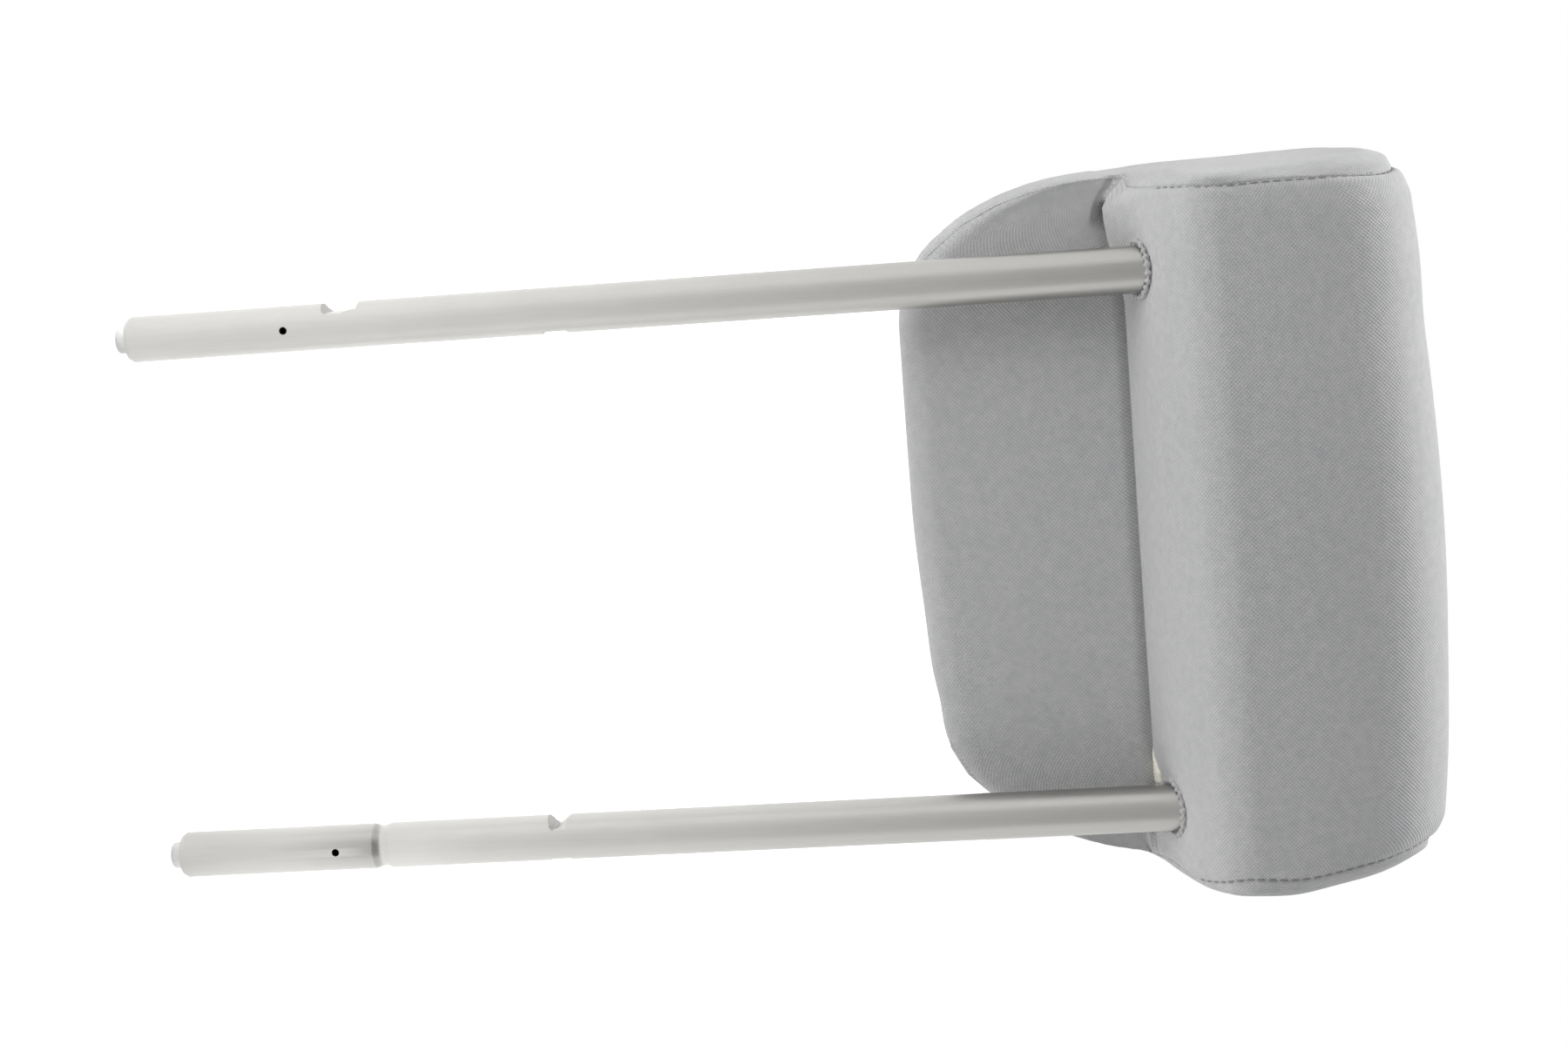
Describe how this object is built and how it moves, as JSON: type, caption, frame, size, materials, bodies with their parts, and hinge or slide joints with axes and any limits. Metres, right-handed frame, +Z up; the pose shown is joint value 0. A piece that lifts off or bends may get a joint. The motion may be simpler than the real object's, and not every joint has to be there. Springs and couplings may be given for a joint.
{
  "type": "car headrest",
  "caption": "Padded fabric headrest with a lip over the seat top, carried on two notched round steel posts.",
  "frame": {"origin": "midway between the open ends of the two posts, on the line through both tube ends", "axes": "+Z up along the posts toward the pad, +X to the occupant's left from post to post, -Y to the front where the head rests"},
  "size_m": [0.2026, 0.0949, 0.3662],
  "materials": {
    "post_steel": "satin nickel-like, fine lengthwise grain",
    "plug_plastic": "white moulded plastic",
    "ring_plastic": "grey moulded bead",
    "carrier_plastic": "black moulded plastic",
    "screw_steel": "zinc plated",
    "foam": "moulded open-cell foam",
    "cover_fabric": "light grey woven seat fabric with a fine lattice weave",
    "strip_plastic": "cream extruded plastic"
  },
  "bodies": {
    "root": {"post_hoop": "post_steel", "end_plug_left": "plug_plastic", "end_plug_right": "plug_plastic", "entry_ring_left": "ring_plastic", "entry_ring_right": "ring_plastic", "carrier_front": "carrier_plastic", "carrier_rear": "carrier_plastic", "carrier_screw_1": "screw_steel", "carrier_screw_2": "screw_steel", "carrier_screw_3": "screw_steel", "carrier_screw_4": "screw_steel", "foam_pad": "foam", "cover_main_panel": "cover_fabric", "cover_side_left": "cover_fabric", "cover_side_right": "cover_fabric", "closure_hook_strip": "strip_plastic", "closure_catch_strip": "strip_plastic"}
  },
  "joints": []
}
